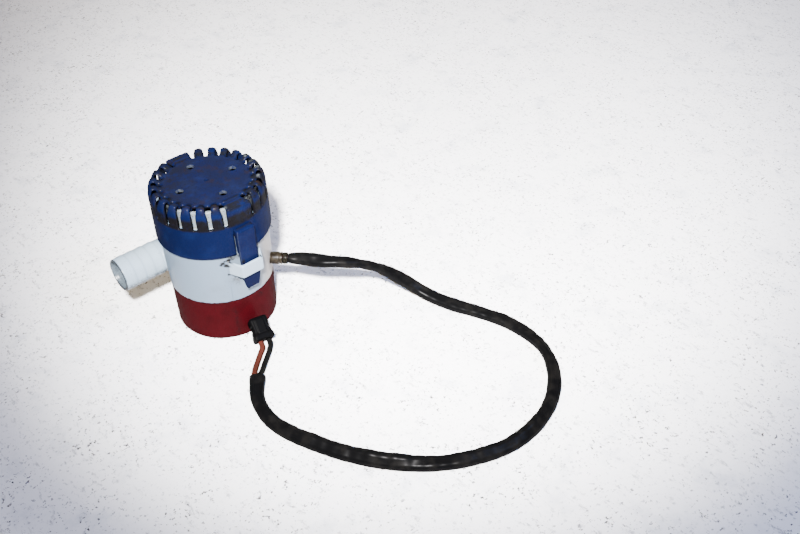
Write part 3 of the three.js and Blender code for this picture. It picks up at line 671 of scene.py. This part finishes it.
def tab_masks(points, front):
    """Painted shade along the hidden inner edges, darker below the strap, one smudge, and the pale edge on
    one side.
    """
    x, y, z = points.T
    out = np.abs(y)
    side = x if front else -x
    # painted shade on the inner face, towards the housing
    grime_and_shade = 0.04 + 0.5 * (1 - ramp(out, 31.2, 31.8)) * (z > 60)
    smudge = np.exp(-(((side + 4.0) / 0.9) ** 2 + ((z - 54.6) / 1.3) ** 2)) * (out > 32)
    grime_and_shade = np.clip(grime_and_shade + 1.1 * smudge + 0.25 * (1 - ramp(z, 45.2, 45.8)), 0, 1)
    pale = 0.35 * (1 - ramp(side, -5.1, -4.7)) * ramp(out, 32.2, 32.8)
    return {"grime_and_shade": grime_and_shade, "pale": np.clip(pale, 0, 1)}


def make_tab(front):
    half = TAB["width"] / 2
    low = (-half, -TAB["out_y"], TAB["tip_z"])
    high = (half, -29.0, TAB["boss_z"])
    points, faces = surface(tab_shape, low, high, STEP_FINE)
    if not front:
        points = points * [-1, -1, 1]
    name = "front" if front else "back"
    made = mesh_object(f"snap_tab_{name}", points, faces, FINISH["blue_plastic"], tab_masks(points, front))
    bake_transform(made)
    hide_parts(f"strainer_tab_{name}")


# ---------------------------------------------------------------- pump housing


def nozzle_r(x):
    """The nozzle's outer radius, with low ridges that are steep on the side towards the pump."""
    r = np.full_like(x, NOZZLE["r"] - NOZZLE["groove"])
    for crest in NOZZLE_RIDGES:
        rise = ramp(x, crest - 5.0, crest) * (1 - ramp(x, crest, crest + 0.9))
        r = r + NOZZLE["groove"] * rise
    return r


def strap_shape(x, y, z):
    """Both strap loops, which are alike on the -Y and +Y sides."""
    side, out = np.abs(x), np.abs(y)
    run = math.hypot(STRAP["front_y"] - STRAP["root_y"], STRAP["root_x"] - STRAP["front_x"])
    nx = (STRAP["front_y"] - STRAP["root_y"]) / run
    ny = (STRAP["root_x"] - STRAP["front_x"]) / run
    leg = (side - STRAP["front_x"]) * nx + (out - STRAP["front_y"]) * ny
    outer = blend_max(leg, out - STRAP["front_y"], 0.5)
    inner = blend_max(leg + STRAP["thick"], out - STRAP["front_y"] + STRAP["thick"], 0.8)
    band = blend_max(outer, -inner, 0.5)
    return blend_max(np.maximum(band, 26.4 - out), slab(z, STRAP["low_z"], STRAP["high_z"]), 0.6)


def housing_shape(x, y, z):
    """The white moulding: wall, neck, strap loops and outlet pipe, less its hollows and bores."""
    r = np.hypot(x, y)
    angle = np.arctan2(y, x)
    low = CAP["seam_z"] + SEAM_GAP
    chips = 0.16 * (np.sin(37 * angle + 2) * np.sin(23 * angle) + np.sin(11 * angle + 1) ** 6)
    wall_r = HOUSING["seam_r"] + (HOUSING["body_r"] - HOUSING["seam_r"]) * np.clip((z - low) / 12, 0, 1)
    outside = blend_max(r - wall_r, z - HOUSING["neck_z"], 0.8)
    neck = np.maximum(r - HOUSING["neck_r"], z - HOUSING["rim_z"])
    outside = np.minimum(outside, neck)
    outside = blend_min(outside, strap_shape(x, y, z), 0.5)
    across = np.hypot(y - NOZZLE["y"], z - NOZZLE["z"])
    pipe = blend_max(across - nozzle_r(x), NOZZLE["end_x"] - x, 0.9)
    pipe = np.maximum(pipe, x + 8)
    outside = blend_min(outside, pipe, 0.9)
    outside = blend_max(outside, low + np.maximum(chips, 0) - z, 0.3)
    hollow = np.maximum(r - HOUSING["inner_r"], slab(z, HOUSING["floor_z"], HOUSING["neck_z"] - 2))
    below = np.maximum(r - HOUSING["inner_r"], z - HOUSING["floor_z"] + 1.9)
    throat = np.maximum(r - HOUSING["ledge_r"], HOUSING["floor_z"] + 5 - z)
    upper = np.maximum(r - HOUSING["neck_in_r"], HOUSING["ledge_z"] - z)
    pot = np.maximum(r - POT_GAP_R, z - HOUSING["floor_z"] - 3)
    flare = 1 - ramp(x, NOZZLE["end_x"], NOZZLE["end_x"] + 2.5)
    mouth = NOZZLE["bore_r"] + (NOZZLE["mouth_r"] - NOZZLE["bore_r"]) * flare
    bore = np.maximum(across - mouth, x + 8)
    a = math.radians(GLAND["turn"])
    out = x * math.cos(a) + y * math.sin(a)
    gland_across = np.hypot(y * math.cos(a) - x * math.sin(a), z - GLAND["z"])
    gland_hole = np.maximum(gland_across - GLAND["r"] - 0.15, 15 - out)
    body = outside
    for cut in (hollow, below, throat, upper, pot, bore, gland_hole):
        body = blend_max(body, -cut, 0.3)
    return body


# Small dark pits by the front strap loop's left root: x, z, half width, half height.
PITS = ((-9.1, 54.1, 1.1, 0.85), (-11.9, 52.8, 0.9, 0.75), (-10.5, 51.2, 1.0, 0.9), (-12.7, 52.0, 0.65, 0.55),
        (-10.9, 53.9, 0.45, 0.45))


def housing_masks(points):
    """Soiling, marks and painted shade on the white moulding and its soiled neck, and painted light on the
    pipe, strap loop and right side.
    """
    x, y, z = points.T
    r = np.hypot(x, y)
    front = y < 0
    neck = ((r < 25.4) & (z > 73.4)).astype(float)
    turn = np.degrees(np.arctan2(-x, -y))
    shade = neck * np.maximum(ramp(turn, 62, 74), 1 - ramp(turn, 4, 10))
    angle = np.degrees(np.arctan2(x, -y))
    wall = (r > 26.9) & (z < 73)
    on_wall = wall & front
    marks_and_shade = np.zeros(len(x))
    for mx, mz, half_x, half_z in PITS:
        spot = np.exp(-(((x - mx) / half_x) ** 2 + ((z - mz) / half_z) ** 2) * 1.5)
        marks_and_shade = np.maximum(marks_and_shade, np.where(on_wall & (x < -6), spot * 3.5, 0))
    # painted shade: a dark line on the wall just under the strap loop's left leg
    line = ramp(z, 44.0, 44.9) * (z < 45.9) * ((x > -10.5) & (x < -3)) * on_wall * (r < 31)
    marks_and_shade = np.maximum(marks_and_shade, 0.95 * line)
    right_end = np.exp(-(((x - 5.9) / 0.5) ** 2 + ((z - 53.6) / 0.4) ** 2)) * (front & (r > 33))
    marks_and_shade = np.maximum(marks_and_shade, right_end * 1.4)
    mould = np.exp(-(((angle + 20.5) / 0.35) ** 2)) * ((z > 27) & (z < 40)) * on_wall
    marks_and_shade = np.maximum(marks_and_shade, 0.3 * mould)
    wave = np.sin(19 * np.radians(angle)) + np.sin(31 * np.radians(angle))
    seam = (1 - ramp(z, 26.5, 27.1)) * wall * ramp(wave, 0.7, 1.5)
    marks_and_shade = np.maximum(marks_and_shade, 0.8 * seam)
    # painted shade: the wall under the strainer skirt, darkened up from its lip
    shade_under_skirt = ramp(z, 57.2, 58.6) * wall
    # the recess around the tab above the strap: dirty, and darkened as painted shade
    recess = (np.abs(x) < 9.5) * ramp(z, 53.2, 54.0) * (1 - ramp(z, 57, 59)) * on_wall * (r < 29)
    below_strap = np.exp(-(((x + 5.8) / 2.6) ** 2 + ((z - 41.0) / 3.6) ** 2)) * on_wall * (r < 29)
    across = np.hypot(y - NOZZLE["y"], z - NOZZLE["z"])
    pipe = (x < -20) & (across < 10)
    low_side = ramp(NOZZLE["z"] - z, 0.5, 5.0) * ramp(NOZZLE["y"] - y, -2.0, 4.0) * pipe * (across > 8.4)
    end_face = (x < NOZZLE["end_x"] + 0.5) * (across > 6.5) * (y < NOZZLE["y"] + 5)
    marks_and_shade = np.maximum(marks_and_shade, 0.9 * end_face)
    # painted shade: the dark gap between the nozzle root and the skirt lip
    root = np.exp(-(((x + 22.5) / 1.6) ** 2 + ((z - 55.5) / 3.5) ** 2)) * (y > 5)
    dirt_and_shade = 0.5 * shade_under_skirt + 0.8 * recess + 0.7 * below_strap + 0.75 * low_side
    # the bore: some dirty specks, and darkened as painted shade
    inside_pipe = pipe & (across < 8.4)
    dirt_and_shade += 0.3 * inside_pipe
    marks_and_shade = np.maximum(marks_and_shade, 0.62 * inside_pipe)
    marks_and_shade = np.maximum(marks_and_shade, root)
    # painted shade: the wall seen through the notches, darkened
    notch_side = ramp(np.abs(x), 3.6, 4.4) * (1 - ramp(np.abs(x), 6.4, 7.4)) * (np.abs(y) > 24)
    shade_behind_notch = 0.9 * notch_side * ramp(z, 57.6, 59.0) * (1 - ramp(z, 69.5, 72.0))
    marks_and_shade = np.where(neck > 0, 0, np.maximum(marks_and_shade, shade_behind_notch))
    # facing is the turn from the camera; the side facing the right-hand lamp gets painted light
    facing = np.degrees(np.arctan2(x * 0.895 - y * 0.446, -x * 0.446 - y * 0.895))
    strap = front * (r > 29.2) * (z < 56) * (~pipe)
    # painted light: a lighter tone on the pipe and front strap loop, and a lighter warm tone on the side
    # facing the right-hand lamp
    return {"dirt_and_shade": np.clip(dirt_and_shade, 0, 1), "marks_and_shade": np.clip(marks_and_shade, 0, 1), "neck": neck, "shade": shade,
            "painted_light": np.clip(ramp(-x, 22, 28) * (across < 10) + 0.8 * strap, 0, 1),
            "warm": np.clip(ramp(facing, 34, 62) * wall * (1 - strap), 0, 1)}


def make_housing():
    low = (NOZZLE["end_x"], -STRAP["front_y"], CAP["seam_z"] + SEAM_GAP)
    high = (HOUSING["body_r"], STRAP["front_y"], HOUSING["rim_z"])
    points, faces = surface(housing_shape, low, high, STEP)
    made = mesh_object("housing_moulding", points, faces, FINISH["white_plastic"], housing_masks(points))
    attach(made, "housing")
    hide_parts("pump_housing", "outlet_nozzle")


# ---------------------------------------------------------------- motor cap


def make_cap():
    spigot_r, spigot_z = 25.9, 29.0
    middle_r = 0.01
    corners = [(middle_r, 0), (CAP["base_r"], 0), (CAP["seam_r"], CAP["seam_z"]), (spigot_r, CAP["seam_z"]),
               (spigot_r, spigot_z), (CAP["bore_r"], spigot_z), (CAP["bore_r"], CAP["wall"]),
               (middle_r, CAP["wall"])]
    outline = rounded(corners, (0, CAP["foot"], 0.35, 0.2, 0.3, 0.3, 1.5, 0))
    fine = []
    for a, b in zip(outline, outline[1:] + outline[:1]):
        steps = max(1, int(math.hypot(b[0] - a[0], b[1] - a[1]) / 0.7))
        fine += [(a[0] + (b[0] - a[0]) * k / steps, a[1] + (b[1] - a[1]) * k / steps) for k in range(steps)]
    points, faces = lathe(fine, 288)
    x, y, z = points.T
    r = np.hypot(x, y)
    angle = np.arctan2(y, x)
    wave = np.sin(29 * angle) + np.sin(47 * angle + 1) + np.sin(71 * angle + 2)
    chip = np.where((z > 24) & (r > 27), 0.22 * ramp(wave, 0.9, 2.4) * ramp(z, 25.2, 26.0), 0)
    points = points - np.stack([np.cos(angle) * chip, np.sin(angle) * chip, chip * 0.6], 1)
    smudge = np.exp(-(((np.degrees(angle) + 78) / 4.0) ** 2 + ((z - 22.0) / 2.0) ** 2))
    smudge = 1.6 * smudge + 0.9 * np.exp(-(((np.degrees(angle) + 72) / 2.0) ** 2 + ((z - 24.5) / 1.2) ** 2))
    worn = 0.45 * np.exp(-(((np.degrees(angle) + 110) / 3.0) ** 2)) * (z > 3) * (z < 22)
    # on the cap: smudges, a worn line, the dark joint at the seam, and painted shade along the bottom edge
    # where it meets the floor
    dirt_and_shade = np.clip(smudge + worn + 0.5 * ramp(z, 25.2, 25.9) * (r > 27) + 0.5 * (1 - ramp(z, 0.4, 1.6)), 0, 1)
    made = mesh_object("cap_moulding", points, faces, FINISH["red_plastic"], {"dirt_and_shade": dirt_and_shade}, sharp=50)
    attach(made, "housing")
    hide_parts("motor_cap")


# ---------------------------------------------------------------- cable gland


def make_gland():
    r, out = GLAND["r"], GLAND["out_r"]
    bore, seat_r, seat_from = GLAND["bore_r"], 2.95, 31.0
    body = rounded(
        [(bore, GLAND["in_r"]), (r - 0.2, GLAND["in_r"]), (r - 0.2, 28.6), (r, 29.2), (r, 32.6),
         (r - 0.35, 32.8), (r - 0.35, 33.4), (r - 0.05, 33.6), (r - 0.1, out), (seat_r, out),
         (seat_r, seat_from), (bore, seat_from)],
        (0.2, 0.3, 0.2, 0.3, 0.2, 0.1, 0.1, 0.15, 0.35, 0.2, 0, 0.2), 3)
    near, far = FERRULE["in_r"], FERRULE["out_r"]
    ring = rounded([(bore, near), (FERRULE["r"], near), (FERRULE["r"], far), (bore, far)],
                   (0.2, 0.35, 0.5, 0.2), 4)
    for name, profile, node, finish in (("gland_barrel", body, "gland_body", "brass"),
                                        ("gland_ring", ring, "gland_ferrule", "bronze")):
        points, faces = lathe(profile, 64)
        made = mesh_object(name, along_gland(points), faces, FINISH[finish], sharp=40)
        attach(made, "housing")
        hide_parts(node)


# ---------------------------------------------------------------- free cable


def make_sleeve():
    """The flat sleeve as a run of rounded sections, with its middle line and its length in mm."""
    count, sides = 460, 28
    squareness = 0.86  # 1 is an ellipse, less is squarer
    lift = 0.05  # of its lowest point above the floor
    path, length = smooth_path(SLEEVE_ROUTE, count)
    share = np.linspace(0, 1, count)
    columns = np.array(SLEEVE_SECTIONS, float).T
    width, thick, lean = (np.interp(share, columns[0], values) for values in columns[1:])
    for values in (width, thick, lean):
        values[3:-3] = np.convolve(values, np.ones(7) / 7, "valid")
    lean = np.radians(lean)
    _, across, up = side_vectors(path)
    turn = np.arange(sides) * 2 * math.pi / sides
    rows = []
    for i in range(count):
        ripple = 0.10 * math.sin(i * 0.9) + 0.12 * math.sin(i * 0.37 + 1)
        wrinkle = 0.16 * math.exp(-((share[i] - 0.135) / 0.02) ** 2) * math.sin(i * 0.8)
        a = width[i] / 2 + 0.5 * ripple + wrinkle
        b = thick[i] / 2 + 0.4 * ripple
        u = a * np.sign(np.cos(turn)) * np.abs(np.cos(turn)) ** squareness
        v = b * np.sign(np.sin(turn)) * np.abs(np.sin(turn)) ** squareness
        dip = 0.32 * np.exp(-((u / 0.9) ** 2)) * (1 - math.exp(-(share[i] / 0.03) ** 2))
        v = v - np.sign(v) * dip
        c, s = math.cos(lean[i]), math.sin(lean[i])
        ring = np.outer(u * c - v * s, across[i]) + np.outer(u * s + v * c, up[i])
        centre = path[i].copy()
        lying = lift - ring[:, 2].min()
        settled = min(max((share[i] - SLEEVE_REST) / SLEEVE_EASE + 1, 0), 1)
        centre[2] = max((1 - settled) * centre[2] + settled * lying, lying)
        rows.append(ring + centre)
    outer = np.concatenate(rows)
    last = rows[-1]
    middle = last.mean(0)
    step = path[-1] - path[-2]
    hollow = 0.74
    lip_moves = ((0.9, 0.35 * step), (hollow, 0.1 * step), (hollow, path[-12] - path[-1]))
    lip = [middle + (last - middle) * scale + move for scale, move in lip_moves]
    points = np.concatenate([outer, *lip])
    faces = [f[::-1] for f in grid_faces(count + len(lip), sides)]
    faces.append(tuple(range(sides)))
    faces.append(tuple(reversed(range(len(points) - sides, len(points)))))
    made = mesh_object("sleeve", points, faces, FINISH["black_rubber"], sharp=60)
    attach(made, "housing")
    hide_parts("cable_sleeve")
    centres = np.array([row.mean(0) for row in rows])
    return made, centres, length


def make_wire(name, route, node, finish):
    count, sides = 60, 20
    path, _ = smooth_path(route, count)
    _, across, up = side_vectors(path)
    turn = np.arange(sides) * 2 * math.pi / sides
    rings = np.cos(turn)[None, :, None] * across[:, None] + np.sin(turn)[None, :, None] * up[:, None]
    points = (path[:, None] + WIRE_R * rings).reshape(-1, 3)
    faces = [f[::-1] for f in grid_faces(count, sides)]
    faces.append(tuple(range(sides)))
    faces.append(tuple(reversed(range(len(points) - sides, len(points)))))
    made = mesh_object(name, points, faces, FINISH[finish], sharp=60)
    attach(made, "housing")
    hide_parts(node)
    return made


def connector_shape(u, s, v):
    """The connector before it is leaned.

    u runs across it, s along its axis towards the mating end, and v through its thickness.
    """
    half, thick = CONNECTOR["width"] / 2, CONNECTOR["thick"] / 2
    side = np.abs(u)
    body = box(u, s, v, (-half, CONNECTOR["low"] - 1, -thick), (half, CONNECTOR["high"], thick), 1.5)
    collar = box(u, s, v, (-COLLAR["width"] / 2, COLLAR["low"], -COLLAR["thick"] / 2),
                 (COLLAR["width"] / 2, CONNECTOR["low"], COLLAR["thick"] / 2), 0.9)
    body = blend_min(body, collar, 1.4)
    waist = box(side, s, v, (half - 0.5, -1.6, -6), (half + 2, 1.0, 6), 0.3)
    body = blend_max(body, -waist, 0.8)
    latch = box(u, s, v, (-2.2, -3.5, thick - 0.5), (2.2, 3.8, thick + 0.2), 0.2)
    body = blend_min(body, latch, 0.6)
    seal = np.maximum(np.hypot(side - WIRE_OFFSET, v) - 1.9, s - COLLAR["low"] - 2.5)
    body = blend_max(body, -seal, 0.3)
    way = box(side, s, v, (WIRE_OFFSET - 1.3, COLLAR["low"] + 2, -1.3), (WIRE_OFFSET + 1.3, 9, 1.3), 0.1)
    return blend_max(body, -way, 0.2)


def leaned(points):
    """From the connector's own u, s, v to the part's frame."""
    u, s, v = np.asarray(points).T
    a = math.radians(CONNECTOR["tilt"])
    b = math.radians(CONNECTOR["turn"])
    x, y, z = CONNECTOR["place"]
    ahead = s * math.cos(a) - v * math.sin(a)
    return np.stack([x + u * math.cos(b) - ahead * math.sin(b), y + u * math.sin(b) + ahead * math.cos(b),
                     z + s * math.sin(a) + v * math.cos(a)], 1)


def make_connector():
    half = COLLAR["width"] / 2
    deep = COLLAR["thick"] / 2 + 0.6
    low, high = (-half, COLLAR["low"], -deep), (half, CONNECTOR["high"], deep)
    points, faces = surface(connector_shape, low, high, STEP_SMALL)
    shell = mesh_object("connector_shell", leaned(points), faces, FINISH["black_plastic"])
    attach(shell, "housing")
    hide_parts("connector_body")
    return shell


# ---------------------------------------------------------------- inner plate


def make_inlet_plate():
    eye_r, collar_r, rim_r = 9.5, 11, 22.7
    collar_z, low_z, high_z = 73, 75, 77
    corners = [(eye_r, collar_z), (collar_r, collar_z), (collar_r, low_z), (rim_r, low_z), (rim_r, high_z),
               (eye_r, high_z)]
    outline = rounded(corners, (0.4, 0.3, 0.3, 0.3, 0.3, 0.8))
    points, faces = lathe(outline, 128)
    made = mesh_object("inlet_disc", points, faces, FINISH["ivory_plastic"], sharp=40)
    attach(made, "housing")
    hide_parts("inlet_plate")


# ---------------------------------------------------------------- floor and light


def floor_material():
    paint = Paint("floor_paint", (0.88, 0.87, 0.86), 0.6, specular=0.1)
    paint.cover((0.42, 0.45, 0.50), paint.times(paint.noise(24, 0.50, 0.74, detail=7, roughness=0.68), 0.55))
    streak = paint.noise(3.4, 0.56, 0.68, detail=6, roughness=0.72, stretch=(1, 0.45, 1), offset=3)
    paint.cover((0.22, 0.22, 0.23), paint.times(streak, 0.6))
    clumps = paint.noise(30, 0.38, 0.56, offset=11)
    paint.cover((0.055, 0.05, 0.048), paint.times(clumps, paint.noise(1.6, 0.61, 0.66, offset=5)))
    paint.cover((0.16, 0.17, 0.19), paint.times(paint.noise(2.4, 0.60, 0.68, detail=3, offset=17), 0.5))
    paint.bump(paint.noise(2.5, 0.2, 0.8, detail=4), 0.05)
    return paint.material


def make_floor():
    reach = 3.0
    corners = [(-reach, -reach), (reach, -reach), (reach, reach), (-reach, reach)]
    floor = mesh_object("floor", [(x / MM, y / MM, 0) for x, y in corners], [(0, 1, 2, 3)], floor_material())


# Each lamp: kind, name, place, target, width in m, power in W, colour.
LAMPS = (
    ("SPOT", "flash", (-0.204, -0.327, 0.445), (0.196, 0.042, 0.0), 0.035, 215, (1.0, 0.98, 0.98)),
    ("AREA", "soft_front", (0.45, -0.85, 1.15), (0.03, -0.06, 0.0), 0.45, 20, (0.30, 0.48, 1.0)),
    ("AREA", "soft_back", (0.75, 1.3, 1.3), (0.2, 0.35, 0.0), 0.9, 15, (1.0, 0.88, 0.62)),
)
SPOT_ANGLE = 56
ROOM_COLOUR = (1.0, 0.80, 0.65)
ROOM_STRENGTH = 0.34


def add_light(kind, name, place, target, width, power, colour):
    data = bpy.data.lights.new(name, kind)
    if kind == "SPOT":
        data.spot_size = math.radians(SPOT_ANGLE)
        data.spot_blend = 1.0
        data.shadow_soft_size = width / 2
    else:
        data.shape = "DISK"
        data.size = width
    data.energy = power
    data.color = colour
    light = bpy.data.objects.new(name, data)
    light.location = place
    light.rotation_euler = (Vector(target) - Vector(place)).to_track_quat("-Z", "Y").to_euler()
    bpy.context.scene.collection.objects.link(light)


def make_light():
    """A small flash near the camera, a bluish lamp in front, a yellowish one behind, and a warm room."""
    for lamp in LAMPS:
        add_light(*lamp)
    world = bpy.data.worlds.new("room")
    world.use_nodes = True
    background = world.node_tree.nodes["Background"]
    background.inputs["Color"].default_value = (*ROOM_COLOUR, 1)
    background.inputs["Strength"].default_value = ROOM_STRENGTH
    bpy.context.scene.world = world


# ---------------------------------------------------------------- assembly

for item in frame["record"]["subparts"]:
    node = frame["nodes"][item["node"]]
    node.data.materials.clear()
    node.data.materials.append(FINISH[item["material_slot"]])

sleeve, sleeve_line, sleeve_length = make_sleeve()
brown = make_wire("wire_lead_brown", BROWN_ROUTE, "wire_brown", "brown_pvc")
black = make_wire("wire_lead_black", BLACK_ROUTE, "wire_black", "black_pvc")
connector = make_connector()
make_strainer()
make_tab(front=True)
make_tab(front=False)
make_housing()
make_cap()
make_gland()
make_inlet_plate()
make_floor()
make_light()
